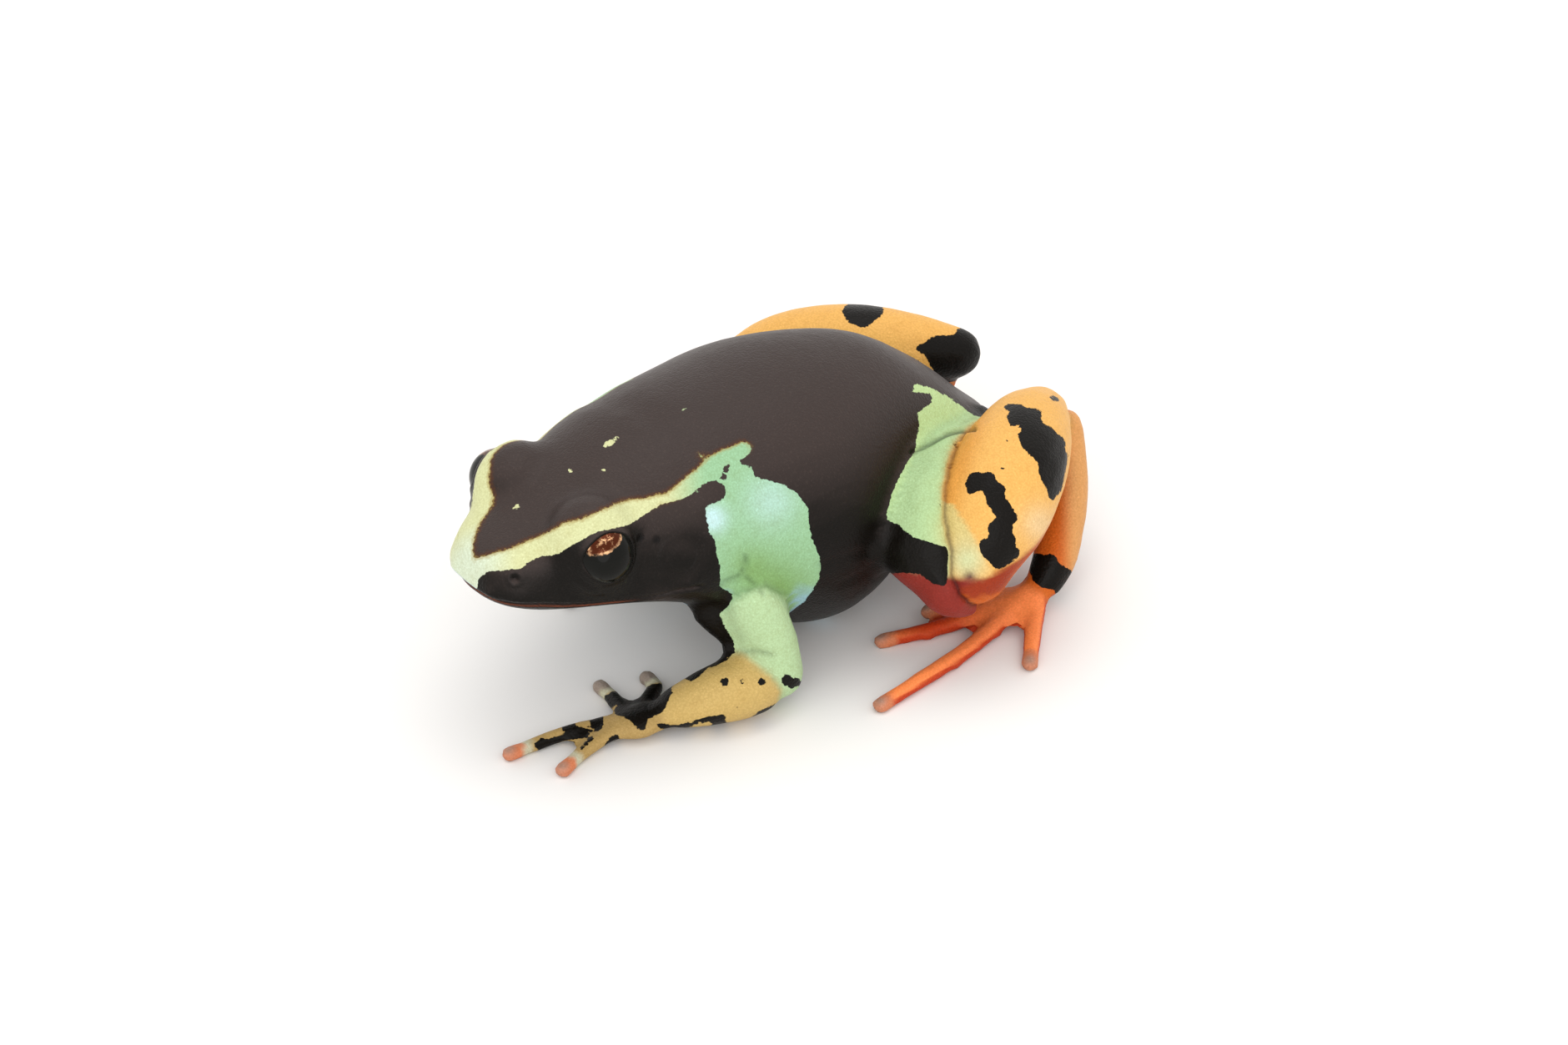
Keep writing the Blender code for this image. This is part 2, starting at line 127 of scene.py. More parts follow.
def apply_all(thing):
    only(thing)
    for modifier in list(thing.modifiers):
        bpy.ops.object.modifier_apply(modifier=modifier.name)


def vertices_of(mesh):
    found = np.empty(len(mesh.vertices) * 3)
    mesh.vertices.foreach_get("co", found)
    return found.reshape(-1, 3)


def put_vertices(mesh, points):
    mesh.vertices.foreach_set("co", np.ascontiguousarray(points, dtype=np.float32).ravel())
    mesh.update()


def normals_of(mesh):
    found = np.empty(len(mesh.vertices) * 3)
    mesh.vertex_normals.foreach_get("vector", found)
    return found.reshape(-1, 3)


def kind_of(name):
    return name.removesuffix("_left").removesuffix("_right")


gathered = bmesh.new()
solids = {}
for name in FLESH:
    part = bmesh.new()
    part.from_mesh(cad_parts[name].data)
    bmesh.ops.remove_doubles(part, verts=part.verts, dist=1e-7)
    for vertex in part.verts:
        vertex.co = (vertex.co - Vector(FROG_ORIGIN)) / MM
    solids[name] = BVHTree.FromBMesh(part)
    grown = bpy.data.meshes.new(name)
    part.to_mesh(grown)
    part.free()
    gathered.from_mesh(grown)
    bpy.data.meshes.remove(grown)
for side in (1, -1):
    filler = Matrix.Translation(EYE_CENTRE * (side, 1, 1))
    bmesh.ops.create_icosphere(gathered, subdivisions=4, radius=SOCKET_FILL, matrix=filler)
skin_mesh = bpy.data.meshes.new("skin")
gathered.to_mesh(skin_mesh)
gathered.free()
skin = bpy.data.objects.new("skin", skin_mesh)
bpy.context.scene.collection.objects.link(skin)

grow = skin.modifiers.new("grow", "DISPLACE")
grow.mid_level, grow.strength = 0, GROW
wrap = skin.modifiers.new("wrap", "REMESH")
wrap.mode, wrap.voxel_size = "VOXEL", VOXEL
shrink = skin.modifiers.new("shrink", "DISPLACE")
shrink.mid_level, shrink.strength = 0, -GROW
apply_all(skin)


def nearest_part(points):
    """For each point, the distance to every flesh part that is near, and FAR for the others."""
    distance = {}
    for name, solid in solids.items():
        low, high = (np.array(corner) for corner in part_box(name))
        low, high = (low - FROG_ORIGIN) / MM - NEAR, (high - FROG_ORIGIN) / MM + NEAR
        found = np.full(len(points), FAR)
        for k in np.nonzero(np.all((points > low) & (points < high), axis=1))[0]:
            found[k] = solid.find_nearest(points[k])[3]
        distance[name] = found
    return distance


def neighbours(mesh):
    """Every edge of the mesh both ways, with its share of its first point's mean."""
    edges = np.empty(len(mesh.edges) * 2, dtype=np.int32)
    mesh.edges.foreach_get("vertices", edges)
    start, end = edges.reshape(-1, 2).T
    both, other = np.concatenate((start, end)), np.concatenate((end, start))
    points = vertices_of(mesh)
    weight = 1 / np.maximum(np.linalg.norm(points[both] - points[other], axis=1), 1e-6)
    return both, other, weight / np.bincount(both, weight, len(points))[both]


def spread(mesh, values, rounds):
    """Evens out a number that each point of the mesh has with those of its neighbours."""
    both, other, share = neighbours(mesh)
    for _ in range(rounds):
        values = (values + np.bincount(both, share * values[other], len(values))) / 2
    return values


def smooth(mesh, amount, rounds):
    """Evens out small bumps and keeps the volume: each round pulls in and then pushes out."""
    points = vertices_of(mesh)
    both, other, share = neighbours(mesh)
    amount = np.asarray(amount).reshape(-1, 1)
    for _ in range(rounds):
        for step in (0.5, -0.53):
            mean = [np.bincount(both, share * points[other, k], len(points)) for k in range(3)]
            points += amount * step * (np.stack(mean, -1) - points)
    put_vertices(mesh, points)


def ramp(value, low, high):
    """0 below low, 1 above high and a smooth step between."""
    t = np.clip((value - low) / (high - low), 0, 1)
    return t * t * (3 - 2 * t)


def fade(value, low, high):
    """1 below low, 0 above high and a smooth step between."""
    return 1 - ramp(value, low, high)


def bell(value, width):
    return np.exp(-((value / width) ** 2))


def meeting(distance, one, other):
    """Distance from the line where two parts meet, and 0 to 1 for how close both are."""
    apart = (distance[one] - distance[other]) / 2
    close = fade(np.minimum(distance[one], distance[other]), *CLOSE_BY)
    return apart, close * (distance[one] < FAR) * (distance[other] < FAR)


distance = nearest_part(vertices_of(skin.data))
part_names = list(distance)
nearest = np.argmin(np.stack([distance[name] for name in part_names]), axis=0)
amounts = np.array([SMOOTHING[kind_of(name)] for name in part_names])[nearest]
for one, other, *_ in CREASES[:FOLDED]:
    apart, close = meeting(distance, one, other)
    amounts *= 1 - FOLD_KEPT * close * bell(apart, FOLD_WIDTH)
smooth(skin.data, amounts, SMOOTHING_ROUNDS)

# Skin, its head
# Round the eyes the skin thins to a lid that lies on the ball. A fine cut makes the mouth, with
# a low lip on each side of it, and two small hollows with a low rim make the nostrils.
MOUTH = np.array((
    (-11.3, 6.10), (-11.0, 6.10), (-10.07, 6.06), (-8.9, 5.82), (-7.6, 5.69), (-6.6, 5.62),
    (-6.0, 5.72), (-5.2, 5.68), (-4.6, 5.5),
))
MOUTH_CORNER, MOUTH_FADES_OVER = -5.0, 0.5
EYE_FACES = np.array((0.965, -0.16, 0.24))
OPENING_HALF = np.radians((66, 56))
OPENING_TILT = math.radians(-4)
OPENING_POWER = 1.75
NOSTRIL = np.array((1.55, -10.74, 7.02))
# The mesh is finer this near to the eye's centre and rim, the mouth's line and the nostril.
LIDS_REACH, LIDS_WIDTH = 1.9, 0.5
RIM_REACH, RIM_WIDTH = 1.8, 0.3
LIPS_WIDTH, CUT_WIDTH = 0.45, 0.2
NOSTRIL_WIDTH = 0.45
LID_LIFT, SOCKET_DEPTH = 0.05, 0.22
LID_INNER_EDGE = 0.02
# Ridges and cuts: how high, how far out from the rim, line or point, and how wide.
LID_ROLL = ((0.03, 0.10, 0.07),)
LOWER_LID_FOLD = ((0.05, 0.30, 0.06),)
MOUTH_AND_LIPS = ((-0.13, 0, 0.055), (0.05, 0.2, 0.12), (0.035, -0.17, 0.1))
NOSTRIL_AND_RIM = ((0.022, 0.2, 0.08), (-0.14, 0, 0.09))


def flip_of(points):
    """What turns points of the right half into points of the left, and leaves the left ones."""
    return np.where(points[:, :1] < 0, (-1, 1, 1), 1)


def mirror_in(points):
    """The points with all of the right half brought over to the left."""
    return points * flip_of(points)


def ridges(value, rows):
    return sum(high * bell(value - at, width) for high, at, width in rows)


def refine(mesh, chosen):
    """Halves the edges whose two ends are chosen: chosen(points) says which points are."""
    fine = bmesh.new()
    fine.from_mesh(mesh)
    wanted = chosen(np.array([vertex.co for vertex in fine.verts]))
    edges = [e for e in fine.edges if wanted[e.verts[0].index] and wanted[e.verts[1].index]]
    bmesh.ops.subdivide_edges(fine, edges=edges, cuts=1, use_grid_fill=True)
    bmesh.ops.triangulate(fine, faces=[face for face in fine.faces if len(face.verts) > 4])
    fine.to_mesh(mesh)
    fine.free()


def smooth_finer(mesh, finer, amount, margin, rounds):
    """Evens out the finer part of the mesh, less and less over a margin beside it."""
    smooth(mesh, amount * spread(mesh, finer.astype(float), margin), rounds)


def around_eye(points):
    """Distance from the eye's centre, and how far outside the rim of the lids, in mm."""
    offset = mirror_in(points) - EYE_CENTRE
    reach = np.linalg.norm(offset, axis=1)
    faces = EYE_FACES / np.linalg.norm(EYE_FACES)
    back = np.cross((0, 0, 1), faces)
    back /= np.linalg.norm(back)
    frame_of_eye = np.stack((back, np.cross(faces, back), faces), -1)
    aside = offset / reach[:, None] @ frame_of_eye
    angle = np.arccos(np.clip(aside[:, 2], -1, 1))
    flat = aside[:, :2] * (angle / np.maximum(np.linalg.norm(aside[:, :2], axis=1), 1e-9))[:, None]
    c, s = math.cos(OPENING_TILT), math.sin(OPENING_TILT)
    turned = np.abs(np.stack((flat[:, 0] * c + flat[:, 1] * s, flat[:, 1] * c - flat[:, 0] * s), -1))
    size = np.sum((turned / OPENING_HALF) ** OPENING_POWER, axis=1) ** (1 / OPENING_POWER)
    return offset, reach, (size - 1) * OPENING_HALF.mean() * EYE_RADIUS


def above_mouth(points):
    """How far above the line of the mouth each point lies."""
    return points[:, 2] - np.interp(points[:, 1], MOUTH[:, 0], MOUTH[:, 1])


def near_mouth(points, width):
    return (abs(above_mouth(points)) < width) & (points[:, 1] < MOUTH_CORNER + 0.3)


def from_nostril(points):
    return np.linalg.norm(mirror_in(points) - NOSTRIL, axis=1)


def near_features(points):
    _, reach, outside = around_eye(points)
    near_eye = (reach < LIDS_REACH) & (outside < LIDS_WIDTH)
    return near_eye | near_mouth(points, LIPS_WIDTH) | (from_nostril(points) < NOSTRIL_WIDTH)


def near_edges(points):
    _, reach, outside = around_eye(points)
    near_rim = (reach < RIM_REACH) & (abs(outside) < RIM_WIDTH)
    return near_rim | near_mouth(points, CUT_WIDTH)


refine(skin.data, near_features)
refine(skin.data, near_edges)
finer = near_features(vertices_of(skin.data))
smooth_finer(skin.data, finer, amount=0.8, margin=6, rounds=10)

points, normals = vertices_of(skin.data), normals_of(skin.data)
offset, reach, outside = around_eye(points)
lid_edge = EYE_RADIUS + LID_LIFT
socket_wall = EYE_RADIUS - SOCKET_DEPTH
wall = socket_wall + (lid_edge - socket_wall) * ramp(outside, -0.10, LID_INNER_EDGE)
lid = lid_edge + ridges(outside, LID_ROLL)
outer = lid + (np.maximum(reach, lid) - lid) * ramp(outside, 0.06, 0.50)
by_eye = (reach < 2.2) & (outside < 0.9)
new_reach = np.where(by_eye, np.where(outside < LID_INNER_EDGE, wall, outer), reach)
under_eye = ramp(-offset[:, 2], -0.2, 0.3)
new_reach -= ridges(outside, LOWER_LID_FOLD) * under_eye * by_eye
points += offset * flip_of(points) * (new_reach / reach - 1)[:, None]

mouth_there = fade(points[:, 1], MOUTH_CORNER - MOUTH_FADES_OVER, MOUTH_CORNER)
rise = ridges(above_mouth(points), MOUTH_AND_LIPS) * mouth_there
rise += ridges(from_nostril(points), NOSTRIL_AND_RIM)
points += normals * rise[:, None]
put_vertices(skin.data, points)

# Skin, its folds
# Where a limb is folded on itself or lies against the body, the skin makes a narrow crease. A
# few more folds run over the shoulder, the flank and the groin, as the photograph shows.
GROIN_FOLD = (
    (1095, 543), (1104, 537), (1117, 530), (1128, 523), (1140, 518), (1152, 515), (1167, 514),
)
GROIN_FOLD_LOWEST = 4
# Each line in the photograph's pixels, then how deep and how wide the fold is.
FOLDS = (
    (GROIN_FOLD, 0.13, 0.09),
    (((862, 704), (872, 697), (886, 692), (893, 682), (895, 668)), 0.07, 0.11),
    (((893, 690), (905, 700), (915, 712)), 0.06, 0.11),
    (((986, 677), (1014, 668), (1047, 658)), 0.06, 0.14),
    (((1010, 700), (1030, 690), (1049, 680)), 0.06, 0.14),
    (((884, 783), (905, 780), (925, 786)), 0.06, 0.11),
)
FOLDS_LOWEST = 0.5
# A crease or fold as deep as this is as dark as it gets.
DEEP_CREASE, DEEP_FOLD = 0.15, 0.12
TOE_KNOBS = ((1113, 763), (1149, 803), (1198, 763))
KNOB_HEIGHT, KNOB_WIDTH = 0.09, 0.16


def distance_to_line(at, line):
    """Distance in pixels from each place in the photograph to a line of corners."""
    best = np.full(len(at), np.inf)
    line = np.array(line, float)
    for a, b in zip(line, line[1:]):
        run = b - a
        t = np.clip(((at - a) @ run) / (run @ run), 0, 1)
        best = np.minimum(best, np.linalg.norm(at - a - t[:, None] * run, axis=1))
    return best


def near_creases(points, reach):
    distance = nearest_part(points)
    found = np.zeros(len(points), bool)
    for one, other, *_ in CREASES[:FOLDED]:
        apart, close = meeting(distance, one, other)
        found |= (abs(apart) < reach) & (close > 0.2)
    return found


def near_groin_fold(points, reach):
    away = distance_to_line(in_photo(mirror_in(points)), GROIN_FOLD) / PIXELS_A_MM
    return (away < reach) & (points[:, 2] > GROIN_FOLD_LOWEST)


def near_folds(points, crease_reach, fold_reach):
    return near_creases(points, crease_reach) | near_groin_fold(points, fold_reach)


refine(skin.data, lambda points: near_folds(points, 0.26, 0.4))
refine(skin.data, lambda points: near_folds(points, 0.12, 0.2))
finer = near_folds(vertices_of(skin.data), 0.30, 0.4)
smooth_finer(skin.data, finer, amount=0.7, margin=4, rounds=6)

points, normals = vertices_of(skin.data), normals_of(skin.data)
distance = nearest_part(points)
depth = np.zeros(len(points))
crease_shade = np.zeros(len(points))
for one, other, deep, width in CREASES:
    apart, close = (spread(skin.data, values, 10) for values in meeting(distance, one, other))
    depth = np.minimum(depth, -deep * close * bell(apart, width))
    dark = close * bell(apart, 0.5 * width) * min(1, deep / DEEP_CREASE)
    crease_shade = np.maximum(crease_shade, dark)
flat = in_photo(mirror_in(points))
for line, deep, width in FOLDS:
    near_line = bell(distance_to_line(flat, line) / PIXELS_A_MM, width) * (points[:, 2] > FOLDS_LOWEST)
    depth = np.minimum(depth, -deep * near_line)
    crease_shade = np.maximum(crease_shade, min(1, deep / DEEP_FOLD) * near_line ** 2)
on_foot = distance["foot_left"] < 0.4
for x, y in TOE_KNOBS:
    away = np.hypot(flat[:, 0] - x, flat[:, 1] - y) / PIXELS_A_MM
    depth += KNOB_HEIGHT * on_foot * bell(away, KNOB_WIDTH)
put_vertices(skin.data, points + normals * depth[:, None])
smooth(skin.data, 0.5, 4)

# Markings
# The frog is black. Its pale marks are green on the flanks, arms and thighs, gold on the
# forearms and orange to red on the lower legs, with a thin stripe along each side of the head.
# Outlines are read from the photograph, in its pixels, and hold on both sides of the body.
# Pale areas of the head and trunk, and a black lobe that reaches into them.
STRIPE = (
    (520, 690), (520, 640), (562, 673), (582, 667), (617, 656), (636, 647), (656, 639), (675, 628),
    (699, 622), (721, 612), (750, 600), (777, 597), (801, 591), (818, 577), (833, 565), (847, 550),
    (869, 538), (891, 530), (899, 545), (870, 600), (840, 582), (823, 597), (794, 605), (770, 619),
    (750, 631), (724, 635), (697, 647), (680, 658), (665, 666), (651, 666), (636, 673), (624, 682),
    (602, 684), (585, 685), (574, 693), (571, 705), (566, 722), (520, 722),
)
STRIPE_TOP = STRIPE[2:18]
FLANK = (
    (847, 550), (869, 538), (891, 530), (902, 536), (899, 554), (905, 571), (922, 576), (940, 582),
    (958, 593), (968, 607), (970, 633), (974, 648), (982, 666), (984, 679), (983, 694), (973, 709),
    (963, 722), (950, 732), (937, 741), (905, 730), (864, 702), (863, 681), (859, 664), (857, 647),
    (850, 637), (846, 618), (846, 607), (840, 590), (838, 570),
)
LOBE = (
    (850, 577), (859, 576), (869, 583), (871, 590), (867, 599), (857, 604), (846, 607), (835, 600),
    (838, 585),
)
GROIN = (
    (1095, 460), (1119, 466), (1141, 479), (1167, 498), (1215, 520), (1215, 700), (1181, 690),
    (1147, 692), (1138, 681), (1141, 661), (1130, 653), (1110, 647), (1088, 640), (1074, 629),
    (1064, 625), (1071, 594), (1082, 568), (1098, 542), (1101, 512), (1101, 493), (1108, 490),
    (1117, 483), (1117, 473), (1094, 470),
)
# Black areas of the limbs, and round spots by their place and radius.
KNEE = (
    (1020, 640), (1064, 625), (1078, 630), (1093, 643), (1115, 650), (1134, 655), (1141, 662),
    (1139, 675), (1140, 688), (1134, 704), (1117, 699), (1102, 688), (1087, 686), (1069, 688),
    (1050, 685), (1020, 690),
)
SHANK_MARKS = (
    ((1204, 489), (1206, 485), (1223, 483), (1228, 488), (1245, 491), (1250, 495), (1248, 501),
     (1250, 508), (1259, 511), (1266, 517), (1275, 525), (1277, 531), (1276, 538), (1281, 545),
     (1281, 552), (1278, 563), (1275, 579), (1270, 591), (1264, 599), (1261, 600), (1257, 595),
     (1253, 583), (1249, 575), (1245, 565), (1245, 557), (1240, 549), (1233, 545), (1230, 540),
     (1226, 536), (1223, 528), (1221, 521), (1225, 517), (1223, 511), (1217, 510), (1212, 511),
     (1208, 505), (1207, 499), (1211, 493)),
    ((1156, 580), (1160, 574), (1162, 568), (1170, 566), (1178, 567), (1187, 565), (1193, 569),
     (1194, 576), (1203, 581), (1206, 586), (1204, 594), (1209, 601), (1215, 611), (1220, 618),
     (1220, 624), (1214, 629), (1213, 639), (1219, 646), (1217, 654), (1224, 662), (1220, 668),
     (1211, 675), (1201, 681), (1194, 685), (1191, 679), (1182, 671), (1175, 660), (1174, 653),
     (1177, 647), (1185, 645), (1185, 638), (1183, 632), (1190, 624), (1198, 620), (1191, 617),
     (1188, 610), (1182, 603), (1180, 593), (1179, 588), (1171, 590), (1165, 593), (1160, 592),
     (1159, 585)),
)
SHANK_SPOTS = ((1261, 477, 3), (1266, 479, 3), (1207, 527, 2.6), (1203, 561, 2.6))
THIGH_TOP = ((1120, 440), (1141, 479), (1167, 498), (1190, 506), (1240, 506), (1240, 440))
THIGH_SPOTS = ((1130, 606, 3.6), (1141, 591, 4.5), (1142, 599, 3.5))
RIGHT_SHANK_MARKS = (
    ((1008, 373), (1021, 360), (1040, 358), (1060, 360), (1058, 378), (1049, 383), (1040, 393),
     (1032, 392), (1018, 387), (1012, 379)),
    ((1094, 417), (1108, 410), (1119, 403), (1144, 401), (1148, 394), (1175, 390), (1200, 411),
     (1200, 440), (1150, 470), (1124, 455), (1110, 428)),
)
HEEL_MARKS = (
    ((1233, 669), (1241, 663), (1251, 665), (1263, 665), (1269, 675), (1284, 684), (1290, 697),
     (1280, 715), (1269, 719), (1264, 708), (1249, 705), (1238, 697), (1234, 682)),
)
FOREARM_MARKS = (
    ((735, 853), (744, 842), (762, 837), (779, 832), (804, 820), (806, 830), (801, 842), (794, 855),
     (786, 859), (776, 862), (775, 874), (768, 877), (761, 869), (751, 862), (739, 857)),
    ((800, 815), (826, 800), (851, 790), (881, 780), (883, 785), (870, 792), (858, 798), (848, 800),
     (841, 808), (832, 816), (826, 817), (820, 812), (809, 822)),
    ((786, 867), (801, 869), (826, 867), (849, 859), (869, 857), (871, 867), (889, 867), (911, 852),
     (938, 840), (945, 850), (911, 868), (889, 880), (868, 884), (851, 877), (853, 865), (845, 866),
     (826, 872), (801, 875), (788, 872)),
    ((707, 862), (722, 850), (724, 872), (712, 879), (706, 869)),
    ((672, 874), (686, 860), (692, 871), (707, 874), (709, 883), (694, 886), (675, 889), (667, 892),
     (657, 896), (645, 900), (640, 892), (650, 883), (655, 887), (667, 883), (677, 879)),
    ((727, 887), (739, 879), (745, 889), (740, 897), (732, 896), (719, 902), (725, 895)),
    ((684, 912), (695, 896), (709, 882), (711, 886), (698, 900), (688, 914)),
    ((726, 821), (734, 812), (744, 830), (777, 829), (779, 833), (764, 838), (744, 843), (733, 847),
     (728, 835)),
    ((788, 795), (799, 795), (806, 812), (803, 818), (789, 823)),
)
FOREARM_SPOTS = ((869, 818, 5.5), (913, 817, 5), (891, 817, 3), (883, 848, 2.5))
ELBOW_SPOTS = ((943, 815, 7), (949, 819, 6), (956, 818, 5))
INNER_ARM = (
    (790, 690), (862, 700), (859, 713), (853, 722), (863, 739), (868, 748), (875, 762), (880, 772),
    (881, 784), (870, 792), (790, 790),
)
# Where the shank has the knee's colours, and where its red underside shows, darkened as painted shade.
KNEE_CAP = (
    (1128, 600), (1144, 605), (1150, 616), (1160, 632), (1168, 644), (1174, 654), (1183, 672),
    (1193, 685), (1196, 740), (1110, 740), (1110, 650),
)
SHANK_UNDER_SHADE = (
    (1150, 704), (1180, 694), (1193, 685), (1221, 670), (1240, 654), (1257, 634), (1269, 610),
    (1279, 585), (1330, 585), (1330, 770), (1150, 770),
)
# Black slits in the flank's pale area, and the far side of the snout, which is pale.
SLITS = (
    ((870, 555), (875, 558), (870, 576), (864, 575)),
    ((884, 553), (896, 547), (903, 540), (903, 557), (893, 558)),
)
SNOUT_FAR_SIDE = (
    (520, 735), (520, 640), (549, 632), (562, 617), (566, 600), (570, 575), (586, 560), (586, 610),
    (566, 640), (566, 735),
)
# Pale flecks on the back: place, half length and half width in pixels, and turn in degrees.
FLECKS = (
    ((731, 531), 11, 3.5, -32), ((684, 564), 3.5, 2.6, 0), ((723, 565), 3, 2.5, 0),
    ((619, 608), 5, 2.2, -30), ((820, 490), 3.2, 2.2, -20), ((841, 547), 5.5, 1.8, 25),
)


def within(at, outline):
    """How far inside an outline each place is, in mm on the frog. Outside it is below 0."""
    odd = np.zeros(len(at), bool)
    x, y = at.T
    corners = np.array(outline, float)
    for a, b in zip(corners, np.roll(corners, -1, 0)):
        level = a[1] == b[1]
        if not level:
            between = (a[1] > y) != (b[1] > y)
            odd ^= between & (x < (b[0] - a[0]) * (y - a[1]) / (b[1] - a[1]) + a[0])
    edge = distance_to_line(at, [*outline, outline[0]]) / PIXELS_A_MM
    return np.where(odd, edge, -edge)


def within_any(at, outlines, spots=()):
    found = [within(at, outline) for outline in outlines]
    found += [(r - np.hypot(at[:, 0] - x, at[:, 1] - y)) / PIXELS_A_MM for x, y, r in spots]
    return np.max(found, axis=0)


# Where each limb runs on the left and on the right: two joints a side.
JOINTS = {
    "upper_arm": (((3.3, -3.5, 5.4), (4.9, -2.4, 1.2)), ((-3.3, -2.9, 5.4), (-6.0, 1.1, 1.2))),
    "forearm": (((4.9, -2.4, 1.2), (3.7, -5.9, 0.8)), ((-6.0, 1.1, 1.2), (-5.5, -2.4, 0.8))),
    "thigh": (((1.3, 8.2, 4.1), (7.0, 3.5, 3.1)), ((-1.3, 8.2, 4.0), (-6.7, 4.7, 3.0))),
    "tarsus": (((3.5, 10.9, 4.7), (6.2, 8.0, 0.9)), ((-2.7, 11.1, 3.6), (-5.75, 8.8, 0.9))),
}


def on_left_limb(points, kind):
    """Points of a right limb brought to the same place on the left limb."""
    (a, b), (c, d) = (np.array(ends, float) for ends in JOINTS[kind])
    flip = np.array((-1, 1, 1))

    def axes(start, end):
        along = (end - start) / np.linalg.norm(end - start)
        side = np.cross(along, (0, 0, 1))
        side /= np.linalg.norm(side)
        return np.stack((along, side, np.cross(side, along)))

    here = (points * flip - c * flip) @ axes(c * flip, d * flip).T
    here[:, 0] *= np.linalg.norm(b - a) / np.linalg.norm(d - c)
    return a + here @ axes(a, b)


points, normals = vertices_of(skin.data), normals_of(skin.data)
distance = nearest_part(points)
distances = np.stack([distance[name] for name in part_names])
far_half = points[:, 0] < 0
# The right side's marks lie this much lower behind the eye, just past the back's outline.
LOWER_ON_RIGHT = 0.5
lift = LOWER_ON_RIGHT * far_half * ramp(points[:, 1], -7.8, -6.4)
flat_body = in_photo(mirror_in(points) + lift[:, None] * (0, 0, 1))
flat_own = in_photo(points)


def limb_places(kind):
    """Places in the photograph of the left limb's skin and, brought over, of the right one's."""
    moved = in_photo(on_left_limb(points, kind))
    nearer_right = distance[kind + "_right"] < distance[kind + "_left"]
    return np.where(nearer_right[:, None], moved, flat_own)


# Limits that keep the outlines to the flank: each of them makes the skin black past it.
GROIN_LOWEST = 3.2
HEAD_ENDS = -7.0
PAST_HORIZON = 0.08
CHEST_TOP, CHEST_HALF = 5.0, 4.0
BELLY_TOP = 2.0
groin_pale = np.where(points[:, 2] > GROIN_LOWEST, within(flat_body, GROIN), -1)
trunk_pale = np.maximum(within_any(flat_body, (STRIPE, FLANK)), groin_pale)
trunk_pale = np.minimum(trunk_pale, -within_any(flat_body, (LOBE, *SLITS)))
facing_down = ramp(-normals[:, 2], 0.15, 0.5)
seen = (normals * flip_of(points)) @ -AHEAD + PAST_HORIZON
off_chest = np.maximum(points[:, 2] - CHEST_TOP, abs(points[:, 0]) - CHEST_HALF)
for limited, limit in (
    (points[:, 1] > HEAD_ENDS, seen),
    (points[:, 1] < 0, off_chest),
    (points[:, 2] < BELLY_TOP, 2 * (0.5 - facing_down)),
):
    trunk_pale = np.where(limited, np.minimum(trunk_pale, limit), trunk_pale)

BELLY_SPOTS = 34
random = np.random.default_rng(7)
for _ in range(BELLY_SPOTS):
    x, y = random.uniform(-2.6, 2.6), random.uniform(-7.5, 6.5)
    size = random.uniform(0.16, 0.5)
    spot = size - np.hypot((points[:, 0] - x) * random.uniform(0.8, 1.3), points[:, 1] - y)
    trunk_pale = np.maximum(trunk_pale, np.minimum(spot, facing_down - 0.7))

# The far side of the snout is pale down to near the lip. Flecks lie on what faces up.
faces_camera = normals @ -AHEAD
far_side = far_half & (faces_camera > 0.05) & (above_mouth(points) > 0.15)
far_side &= points[:, 2] > 6.75 - 0.6 * ramp(-points[:, 1], 10.1, 10.8)
far_pale = np.maximum(trunk_pale, within(flat_own, SNOUT_FAR_SIDE))
trunk_pale = np.where(far_side, far_pale, trunk_pale)
over_lip = 2 * above_mouth(points) - 0.2
trunk_pale = np.where(points[:, 1] < -8.5, np.minimum(trunk_pale, over_lip), trunk_pale)
for (x, y), long, wide, turn in FLECKS:
    c, s = math.cos(math.radians(turn)), math.sin(math.radians(turn))
    run, rise = flat_own[:, 0] - x, flat_own[:, 1] - y
    along, aside = run * c + rise * s, rise * c - run * s
    fleck = (1 - np.hypot(along / long, aside / wide)) * wide / PIXELS_A_MM
    trunk_pale = np.where(normals[:, 2] > 0.3, np.maximum(trunk_pale, fleck), trunk_pale)

# The right hand has pale and black bands that run outward from its wrist.
RIGHT_WRIST = (-5.4, -3.2, 0.5)
HAND_BAND = 0.75
from_wrist = np.linalg.norm(points - RIGHT_WRIST, axis=1)
hand_right_pale = 0.12 + 0.25 * np.sin(from_wrist * math.tau / HAND_BAND)
places = limb_places("forearm")
forearm_pale = -within_any(places, FOREARM_MARKS, FOREARM_SPOTS + ELBOW_SPOTS)
arm_pale = -within_any(limb_places("upper_arm"), (INNER_ARM,))
arm_pale = np.minimum(arm_pale, -within_any(places, (), ELBOW_SPOTS))
thigh_pale = -within_any(limb_places("thigh"), (KNEE, THIGH_TOP), THIGH_SPOTS)
heel_pale = -within_any(limb_places("tarsus"), HEEL_MARKS)
all_pale = np.full(len(points), 0.6)
pale = {
    "torso": trunk_pale, "head": trunk_pale,
    "upper_arm_left": arm_pale, "upper_arm_right": arm_pale,
    "forearm_left": forearm_pale, "forearm_right": forearm_pale,
    "hand_left": forearm_pale, "hand_right": hand_right_pale,
    "thigh_left": thigh_pale, "thigh_right": thigh_pale,
    "shank_left": -within_any(flat_own, SHANK_MARKS, SHANK_SPOTS),
    "shank_right": -within_any(flat_own, RIGHT_SHANK_MARKS),
    "tarsus_left": heel_pale, "tarsus_right": heel_pale,
    "foot_left": heel_pale, "foot_right": all_pale,
}
# Each point belongs to the part that is nearest, with a soft change from one to the next.
PARTS_BLEND = 0.08
MARK_REACH = 0.4
weights = np.exp(-(distances - distances.min(0)) / PARTS_BLEND)
weights /= weights.sum(0)
mark = np.sum(weights * np.clip([pale[name] for name in part_names], -MARK_REACH, MARK_REACH), axis=0)

